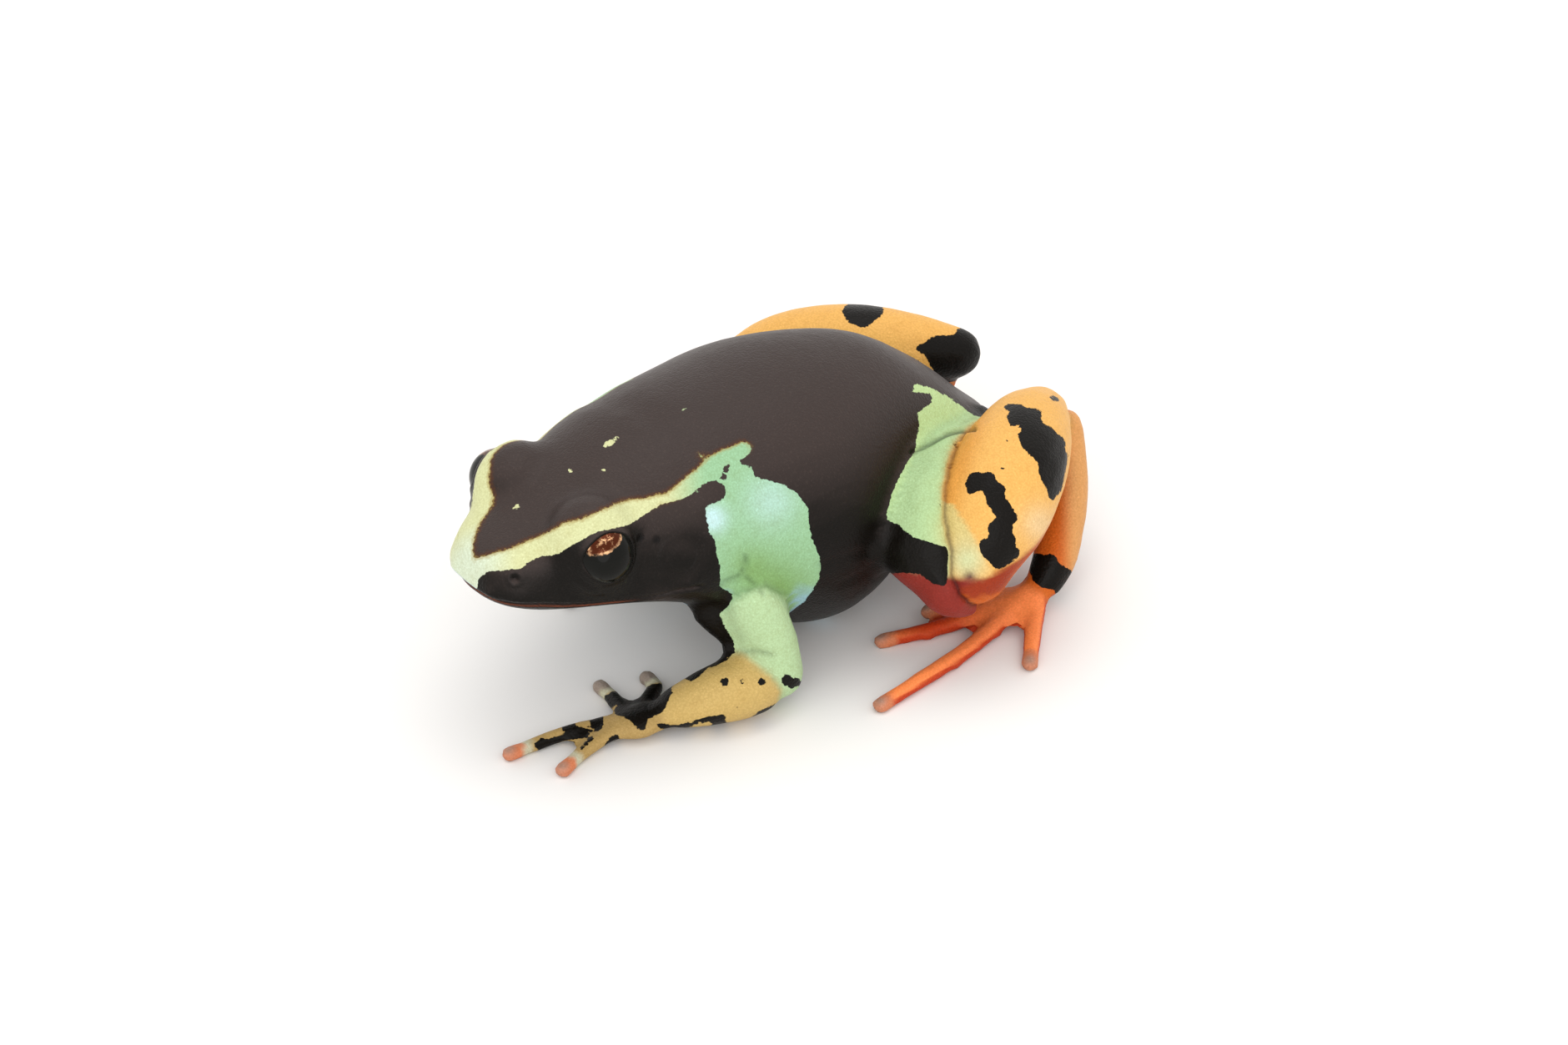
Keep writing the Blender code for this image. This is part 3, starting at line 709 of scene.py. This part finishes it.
STRIPE_GREEN, SNOUT_GREY = (0.60, 0.62, 0.34), (0.60, 0.68, 0.52)
FLANK_AQUA, FLANK_BLUE, FLANK_LIME = (0.29, 0.50, 0.29), (0.50, 0.72, 0.72), (0.17, 0.31, 0.06)
ARM_GREEN, FOREARM_GOLD, HAND_GOLD = (0.43, 0.59, 0.33), (0.55, 0.38, 0.13), (0.42, 0.28, 0.10)
THIGH_GREEN, GROIN_LIME, KNEE_GOLD = (0.40, 0.57, 0.29), (0.48, 0.66, 0.31), (0.66, 0.52, 0.20)
SHANK_ORANGE, SHANK_SHEEN_PEACH, SHANK_EDGE = (0.77, 0.42, 0.11), (0.78, 0.54, 0.27), (0.76, 0.31, 0.05)
TARSUS_GOLD, DEEP_ORANGE, FOOT_RED = (0.66, 0.32, 0.11), (0.58, 0.12, 0.013), (0.50, 0.045, 0.010)
FOOT_ORANGE, KNEE_PALE, PATCH_GREY = (0.96, 0.27, 0.08), (0.60, 0.62, 0.34), (0.10, 0.06, 0.05)
UNDER_RED, SHADE_RED, BELLY_BLUE = (0.24, 0.026, 0.018), (0.30, 0.035, 0.010), (0.30, 0.50, 0.62)
TIP_ORANGE, TIP_GREY, RING_PALE = (0.62, 0.20, 0.09), (0.30, 0.24, 0.20), (0.52, 0.50, 0.36)
LIP_BROWN, TARSUS_RED = (0.20, 0.05, 0.02), (0.45, 0.06, 0.012)
PIGMENT = {
    "head": FLANK_AQUA, "torso": FLANK_AQUA, "upper_arm": ARM_GREEN, "forearm": FOREARM_GOLD,
    "hand": HAND_GOLD, "thigh": THIGH_GREEN, "shank": SHANK_ORANGE, "tarsus": TARSUS_GOLD,
    "foot": FOOT_RED,
}
pigment = weights.T @ np.array([PIGMENT[kind_of(name)] for name in part_names])


def share_of(*names):
    """How much of each point belongs to any of these parts."""
    return weights[[part_names.index(name) for name in names]].sum(0)


def dab(where, colour):
    """Lays a soft patch of a colour over the pigment, as strong as where says."""
    pigment[:] += np.clip(where, 0, 1)[:, None] * (np.array(colour) - pigment)


def spot_at(places, x, y, reach):
    return bell(np.hypot(places[:, 0] - x, places[:, 1] - y), reach)


# Head and trunk: each patch by its place in the photograph, and the belly by its slope.
body = share_of("head", "torso")
dab(body * ramp(flat_body[:, 0], 850, 790), STRIPE_GREEN)
dab(body * ramp(flat_body[:, 0], 625, 575), SNOUT_GREY)
dab(0.8 * body * spot_at(flat_body, 930, 715, 45), FLANK_LIME)
dab(0.5 * body * spot_at(flat_body, 900, 680, 25), FLANK_LIME)
dab(1.2 * body * spot_at(flat_body, 854, 622, 16), FLANK_BLUE)
dab(0.5 * body * spot_at(flat_body, 925, 600, 30), FLANK_BLUE)
dab(body * ramp(flat_body[:, 0], 1030, 1070), GROIN_LIME)
dab(facing_down * body, BELLY_BLUE)

# The left shank's front end is coloured as the knee is, which it lies against.
knee_places = limb_places("thigh")
in_cap = within(flat_own, KNEE_CAP)
cap_share = share_of("shank_left") * ramp(in_cap, -0.06, 0.10)
knee_share = np.minimum(share_of("thigh_left", "thigh_right") + cap_share, 1)
dab(0.9 * knee_share * spot_at(knee_places, 1154, 640, 26), KNEE_GOLD)
dab(cap_share * ramp(-knee_places[:, 1], -650, -630), KNEE_GOLD)
dab(knee_share * spot_at(knee_places, 1160, 672, 24), KNEE_PALE)
dab(knee_share * spot_at(knee_places, 1162, 692, 7), PATCH_GREY)
red_from = np.interp(knee_places[:, 0], (1085, 1150), (680, 692))
dab(knee_share * ramp(knee_places[:, 1] - red_from, -3, 7), UNDER_RED)
dab(knee_share * ramp(-normals[:, 2], 0.25, 0.6), UNDER_RED)
dab(knee_share * ramp(points[:, 1], 0.2, 1.2) * ramp(-points[:, 2], -3.5, -3.0), UNDER_RED)

# Shanks, heels and feet: orange to gold above, and redder edges and undersides. The left shank has
# painted sheen on its lower right edge and painted shade below it; the heels' left sides and the inner
# toes are darker in part with painted shade.
shank_left = share_of("shank_left")
edge = ramp(-flat_own[:, 0] - 0.3 * flat_own[:, 1], -1345, -1315)
# A paler peach patch on the left shank's lower right edge is painted sheen.
dab(shank_left * spot_at(flat_own, 1246, 628, 22), SHANK_SHEEN_PEACH)
dab(0.7 * shank_left * (in_cap < 0) * edge, SHANK_EDGE)
# Below the shank's edge its red is darker: painted shade.
dab(shank_left * ramp(within(flat_own, SHANK_UNDER_SHADE), -0.05, 0.12), SHADE_RED)
tarsi = share_of("tarsus_left", "tarsus_right")
dab(share_of("shank_left", "shank_right") * ramp(-normals[:, 2], 0.1, 0.6), DEEP_ORANGE)
# Each heel's left side is a deeper orange than its gold right side: painted shade.
dab(tarsi * ramp(-limb_places("tarsus")[:, 0], -1290, -1268), DEEP_ORANGE)
dab(tarsi * ramp(-normals[:, 2], 0.2, 0.7), TARSUS_RED)
dab(share_of("foot_left", "foot_right") * ramp(normals[:, 2], 0.25, 0.75), FOOT_ORANGE)
# The inner toes are dark red: partly their own colour, partly painted shade.
INNER_TOES = 1.7
for name, x, y in (("foot_left", 4.6, 4.2), ("foot_right", -6.2, 4.5)):
    away = np.hypot(points[:, 0] - x, points[:, 1] - y)
    dab(1.2 * share_of(name) * bell(away, INNER_TOES), FOOT_RED)

# Where each finger and toe ends. Each hand's first two have grey pads, all others orange ones.
DIGIT_TIPS = {
    "hand_left": ((0.50, -6.58), (1.10, -5.08), (1.58, -11.20), (3.38, -10.38)),
    "hand_right": ((-3.70, -2.70), (-4.00, -4.40), (-5.10, -5.10), (-6.65, -4.45)),
    "foot_left": ((4.05, 5.90), (4.20, 4.55), (4.50, 2.25), (7.25, -0.10), (8.65, 5.25)),
    "foot_right": ((-5.00, 6.20), (-5.70, 5.20), (-6.95, 3.60), (-8.85, 1.60), (-9.30, 6.50)),
}
GREY_FINGERS = 2
DIGITS_HIGHEST = 1.2
FAR_AWAY = 9
# How far from the tip the pad and its middle, the pale ring and the black past it reach.
PAD_MIDDLE, PAD_ENDS = (0.05, 0.35), (0.45, 0.58)
PALE_ENDS, RING_ENDS, BLACK_ENDS = (0.7, 0.9), (0.75, 0.90), (1.1, 1.5)
for name, tips in DIGIT_TIPS.items():
    hand = name.startswith("hand")
    for number, (x, y) in enumerate(tips):
        grey = hand and number < GREY_FINGERS
        away = np.hypot(points[:, 0] - x, points[:, 1] - y)
        away = np.where(points[:, 2] < DIGITS_HIGHEST, away, FAR_AWAY)
        if hand:
            dab(fade(away, *RING_ENDS), RING_PALE)
        if grey:
            mark = mark - 0.6 * fade(away, *BLACK_ENDS) * (1 - share_of("forearm_left"))
        tip_pale = np.maximum(mark, 0.25 * fade(away, *PALE_ENDS))
        mark = np.where(away < PALE_ENDS[1], tip_pale, mark)
        dab(fade(away, *PAD_ENDS), TIP_GREY if grey else TIP_ORANGE)
        dab(0.7 * fade(away, *PAD_MIDDLE), TIP_GREY)

# Creases are darker with painted shade, the lower lip has a brown line, and black that faces up is
# lighter and browner than the sides, which is painted sheen.
CREASE_DARKNESS = 0.65
LIP_LINE_BELOW, LIP_LINE_WIDTH = 0.11, 0.024
FRINGE_WIDTH = 0.28
pigment *= 1 - CREASE_DARKNESS * crease_shade[:, None]
on_lip = bell(above_mouth(points) + LIP_LINE_BELOW, LIP_LINE_WIDTH)
lip_line = ramp(-points[:, 1], 6.9, 8.0) * on_lip * body
fringe = bell(distance_to_line(flat_body, STRIPE_TOP) / PIXELS_A_MM, FRINGE_WIDTH) * body
# back: black that faces up, and one round spot of the body, is made lighter and browner as painted
# sheen.
back = ramp(normals[:, 2], 0.2, 0.85) * body
back = np.maximum(back, 0.9 * body * spot_at(flat_body, 795, 735, 20))


def keep_number(name, values):
    """Stores one number for each point of the skin, for its material."""
    layer = skin.data.attributes.new(name, "FLOAT", "POINT")
    layer.data.foreach_set("value", np.ascontiguousarray(values, dtype=np.float32))


keep_number("mark", mark)
keep_number("fringe", fringe)
keep_number("back", back)
keep_number("lip_line", lip_line)
with_alpha = np.hstack((pigment, np.ones((len(points), 1))))
layer = skin.data.color_attributes.new("pigment", "FLOAT_COLOR", "POINT")
layer.data.foreach_set("color", with_alpha.astype(np.float32).ravel())

put_vertices(skin.data, vertices_of(skin.data) * MM + FROG_ORIGIN)
only(skin)
bpy.ops.object.shade_smooth()


# Skin material
# Moist skin with fine grains: black, lighter and browner on the back with painted sheen, and
# pigment laid in small cells whose edges are ragged. A golden-brown fringe runs along the top
# of the head's stripe.
# The eardrums and the two pits behind each eye are shallow relief in it, and each pit is also painted
# near black as shade.
class Value:
    """A socket or a number in a node tree, on which arithmetic adds Math nodes."""

    def __init__(self, tree, socket):
        self.tree, self.socket = tree, socket

    def math(self, operation, *others):
        inputs = dict(enumerate((self, *others)))
        return self.tree.add("ShaderNodeMath", {"operation": operation}, inputs).out()

    def __add__(self, other):
        return self.math("ADD", other)

    def __sub__(self, other):
        return self.math("SUBTRACT", other)

    def __mul__(self, other):
        return self.math("MULTIPLY", other)

    def __rsub__(self, other):
        return (self * -1) + other

    __radd__ = __add__
    __rmul__ = __mul__

    def step(self, low, high):
        """0 below low and 1 above high, with a smooth step between."""
        made = self.tree.add(
            "ShaderNodeMapRange",
            {"interpolation_type": "SMOOTHSTEP"},
            {"Value": self, "From Min": low, "From Max": high},
        )
        return made.out("Result")


class Node:
    def __init__(self, tree, node):
        self.tree, self.node = tree, node

    def out(self, name=0):
        return Value(self.tree, self.node.outputs[name])


class Tree:
    """A material's node tree."""

    def __init__(self, name):
        self.material = bpy.data.materials.new(name)
        self.material.use_nodes = True
        self.tree = self.material.node_tree
        self.shader = self.tree.nodes["Principled BSDF"]

    def add(self, kind, settings=None, inputs=None):
        """Any node: its settings are made first, then the values or links of its sockets."""
        node = self.tree.nodes.new(kind)
        for name, value in (settings or {}).items():
            setattr(node, name, value)
        for name, value in (inputs or {}).items():
            self.set(node.inputs[name], value)
        return Node(self, node)

    def set(self, socket, value):
        if isinstance(value, Value):
            self.tree.links.new(value.socket, socket)
        else:
            socket.default_value = value

    def finish(self, **inputs):
        for name, value in inputs.items():
            self.set(self.shader.inputs[name.replace("_", " ")], value)
        return self.material

    def attribute(self, name, output="Fac"):
        return self.add("ShaderNodeAttribute", {"attribute_name": name}).out(output)

    def place(self):
        return self.add("ShaderNodeTexCoord").out("Object")

    def from_point(self, centre):
        """Place in millimetres from a point that is given in metres."""
        return self.add(
            "ShaderNodeMapping", {"vector_type": "POINT"},
            {"Vector": self.place(), "Location": tuple(-centre / MM), "Scale": (1 / MM,) * 3},
        ).out("Vector")

    def split(self, vector):
        node = self.add("ShaderNodeSeparateXYZ", {}, {"Vector": vector})
        return [node.out(axis) for axis in "XYZ"]

    def noise(self, size, detail=2.0, roughness=0.5):
        """Noise from -1 to 1 with lumps about this many millimetres wide."""
        inputs = {"Vector": self.place(), "Scale": 1 / (size * MM)}
        inputs |= {"Detail": detail, "Roughness": roughness}
        return (self.add("ShaderNodeTexNoise", {}, inputs).out("Fac") - 0.5) * 2

    def cells(self, size):
        """Distance from the middle of cells about this many millimetres wide."""
        inputs = {"Vector": self.place(), "Scale": 1 / (size * MM)}
        return self.add("ShaderNodeTexVoronoi", {}, inputs).out("Distance")

    def mix(self, amount, a, b, blend="MIX"):
        """Colour a where amount is 0 and colour b, or the blend of the two, where it is 1."""
        node = self.tree.nodes.new("ShaderNodeMix")
        node.data_type, node.blend_type = "RGBA", blend
        self.set(node.inputs["Factor"], amount)
        for socket, value in ((node.inputs[6], a), (node.inputs[7], b)):
            self.set(socket, value if isinstance(value, Value) else (*value, 1))
        return Value(self, node.outputs[2])

    def bump(self, height, distance, strength):
        inputs = {"Height": height, "Distance": distance * MM, "Strength": strength}
        return self.add("ShaderNodeBump", {}, inputs).out("Normal")


EARDRUM, EARDRUM_RADIUS = (3.84, -5.75, 6.93), 0.62
PITS, PIT_RADIUS = ((3.09, -6.79, 7.72), (3.35, -6.33, 7.58)), 0.2
PIT_SHADE = (0.001, 0.001, 0.001)
GRAIN, SPECKLE, RELIEF_DEPTH = 0.075, 0.075, 0.034
SHEEN_BLACK, SIDE_BLACK = (0.043, 0.031, 0.028), (0.004, 0.003, 0.002)
BLACK_GRAIN, FLECK_LIGHT, GAP_DARK = (0.080, 0.056, 0.048), (1.35, 1.35, 1.5), (0.50, 0.44, 0.30)
FRINGE_GOLD, FRINGE_BROWN, MOTTLE = (0.33, 0.23, 0.06), (0.075, 0.028, 0.012), (0.74, 0.66, 0.50)

paint = Tree("frog_skin")
ragged = paint.noise(0.10, 2) * 0.055 + paint.noise(0.45, 2) * 0.075
mark_value = paint.attribute("mark") + ragged
pale_here = mark_value.step(-0.013, 0.013)
grains = paint.cells(GRAIN)
speckle = paint.noise(SPECKLE, 2)
painted_sheen = paint.attribute("back")
# Black that faces up is lighter and browner, painted sheen; its pale grains are stronger there too.
black = paint.mix(painted_sheen, SIDE_BLACK, SHEEN_BLACK)
black = paint.mix(speckle.step(0.0, 0.6) * (painted_sheen * 0.3 + 0.05), black, BLACK_GRAIN)
pale = paint.attribute("pigment", "Color")
pale = paint.mix(paint.noise(0.4, 3).step(-0.1, 0.7) * 0.28, pale, MOTTLE, "MULTIPLY")
pale = paint.mix(grains.step(0.30, 0.75) * 0.20, pale, GAP_DARK, "MULTIPLY")
pale = paint.mix(speckle.step(0.10, 0.60) * 0.6, pale, FLECK_LIGHT, "MULTIPLY")
fringed = paint.attribute("fringe")
teeth = mark_value + paint.noise(0.08, 2) * 0.09
border = fringed * teeth.step(-0.06, -0.01) * (1 - teeth.step(0.02, 0.12))
brown = fringed * teeth.step(-0.20, -0.04)
colour = paint.mix(brown * 0.85, black, FRINGE_BROWN)
colour = paint.mix(paint.attribute("lip_line") * 0.8, colour, LIP_BROWN)
colour = paint.mix(pale_here, colour, pale)
colour = paint.mix(border * 0.55, colour, FRINGE_GOLD)
relief = grains * -0.5 + paint.noise(0.17, 3) * 0.35 + speckle * 0.12
x, y, z = paint.split(paint.from_point(FROG_ORIGIN))
half = paint.add("ShaderNodeCombineXYZ", {}, {"X": x.math("ABSOLUTE"), "Y": y, "Z": z}).out("Vector")


def away_from(place):
    made = paint.add("ShaderNodeVectorMath", {"operation": "DISTANCE"}, {0: half, 1: place})
    return made.out("Value")


from_ear = away_from(EARDRUM) * (1 / EARDRUM_RADIUS)
ear_ring = from_ear.step(0.88, 1.03) * (1 - from_ear.step(1.03, 1.30))
relief = relief + ear_ring * 1.1 - (1 - from_ear.step(0.70, 0.98)) * 0.3
for pit in PITS:
    hollow = 1 - away_from(pit).step(0.02, PIT_RADIUS)
    relief = relief - hollow * 3
    # The pit is also painted near black: painted shade in the hollow.
    colour = paint.mix(hollow * 0.8, colour, PIT_SHADE)
skin.data.materials.clear()
skin.data.materials.append(paint.finish(
    Base_Color=colour,
    Roughness=0.40 + pale_here * 0.08 + paint.noise(0.3) * 0.06,
    Specular_IOR_Level=0.10,
    Coat_Weight=0.04,
    Coat_Roughness=0.20,
    Normal=paint.bump(relief, RELIEF_DEPTH, 0.8),
))
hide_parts(*FLESH)
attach(skin, "root")

# Eyes
# Each is a wet black ball with a clear bulging cornea. The iris shows as a band of copper and
# gold flecks under the upper lid, and the wide pupil is black like the rest of the iris. A grey
# rim low and to the front of the ball is a painted reflection.
CORNEA_RISE = 0.06
BAND_TILT = 0.28
# How far the band goes to the front of the left eye and of the right one.
BAND_FRONT = {1: 0.80, -1: 0.30}
IRIS_COPPER, IRIS_GOLD = (0.075, 0.016, 0.005), (0.85, 0.48, 0.25)
EYE_BLACK, RIM_REFLECTION_GREY = (0.006, 0.006, 0.005), (0.035, 0.036, 0.030)


def eye_material(side):
    eye = Tree("eye")
    centre = FROG_ORIGIN + EYE_CENTRE * (side, 1, 1) * MM
    _, y, z = eye.split(eye.from_point(centre))
    flecks = eye.noise(0.20, 4, 0.75)
    level = z - y * BAND_TILT + flecks * 0.05
    forward = y * -1
    front = BAND_FRONT[side]
    ends = forward.step(-0.78, -0.66) * (1 - forward.step(front - 0.05, front + 0.05))
    band = level.step(0.66, 0.72) * (1 - level.step(0.96, 1.01)) * ends
    metal = eye.mix(flecks.step(0.02, 0.42), IRIS_COPPER, IRIS_GOLD)
    # The rim low and to the front of the ball is lighter grey: a painted reflection.
    rim = (z * -1 - y * 0.6).step(0.72, 0.86)
    edge = level.step(0.64, 0.67) * (1 - level.step(0.70, 0.73)) * ends
    colour = eye.mix(rim * 0.6, EYE_BLACK, RIM_REFLECTION_GREY)
    colour = eye.mix(band, colour, metal)
    colour = eye.mix(edge * flecks.step(-0.3, 0.3) * 0.8, colour, IRIS_GOLD)
    return eye.finish(
        Base_Color=colour,
        Roughness=0.12,
        Metallic=band * 0.7,
        Specular_IOR_Level=0.06,
        Coat_Weight=0.08,
        Coat_Roughness=0.07,
    )


for side, name in ((1, "eye_left"), (-1, "eye_right")):
    bpy.ops.object.select_all(action="DESELECT")
    centre = FROG_ORIGIN + EYE_CENTRE * (side, 1, 1) * MM
    radius = EYE_RADIUS * MM
    bpy.ops.mesh.primitive_uv_sphere_add(segments=64, ring_count=40, radius=radius, location=centre)
    ball = bpy.context.object
    ball.name = name + "_ball"
    bpy.ops.object.transform_apply(location=True, rotation=True, scale=True)
    out = (vertices_of(ball.data) - centre) / radius
    bulge = 1 + CORNEA_RISE * ramp(out[:, 0] * side, 0.35, 0.95)
    put_vertices(ball.data, centre + out * radius * bulge[:, None])
    bpy.ops.object.shade_smooth()
    ball.data.materials.append(eye_material(side))
    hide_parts(name)
    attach(ball, "root")

# Floor and light
# A plain white sheet under soft light from large lamps, as in a tabletop studio.
FLOOR_SIZE = 4
WHITE_SHEET = (0.86, 0.845, 0.83, 1)
bpy.ops.object.select_all(action="DESELECT")
bpy.ops.mesh.primitive_plane_add(size=FLOOR_SIZE, location=FROG_ORIGIN * (1, 1, 0))
floor = bpy.context.object
floor.name = "floor"
sheet = Tree("white_sheet")
floor.data.materials.append(sheet.finish(Base_Color=WHITE_SHEET, Roughness=0.9))

world = bpy.data.worlds.new("studio")
world.use_nodes = True
surround = world.node_tree.nodes["Background"]
surround.inputs["Color"].default_value = (1.0, 0.99, 0.975, 1)
surround.inputs["Strength"].default_value = 1.12
bpy.context.scene.world = world
# Each lamp's name, its place from the frog's middle and its width in mm, and its power in watts.
LAMPS = (
    ("above", (-30, 35, 195), 150, 0.08),
    ("front", (140, -130, 100), 200, 0.14),
)
for name, place, size, power in LAMPS:
    lamp = bpy.data.lights.new(name, "AREA")
    lamp.shape = "DISK"
    lamp.size = size * MM
    lamp.energy = power
    stand = bpy.data.objects.new(name, lamp)
    bpy.context.scene.collection.objects.link(stand)
    stand.location = FROG_ORIGIN + np.array(place) * MM
    aim = Vector(-np.array(place) + (0, 0, 5))
    stand.rotation_euler = aim.to_track_quat("-Z", "Y").to_euler()
bpy.context.scene.view_settings.view_transform = "Standard"
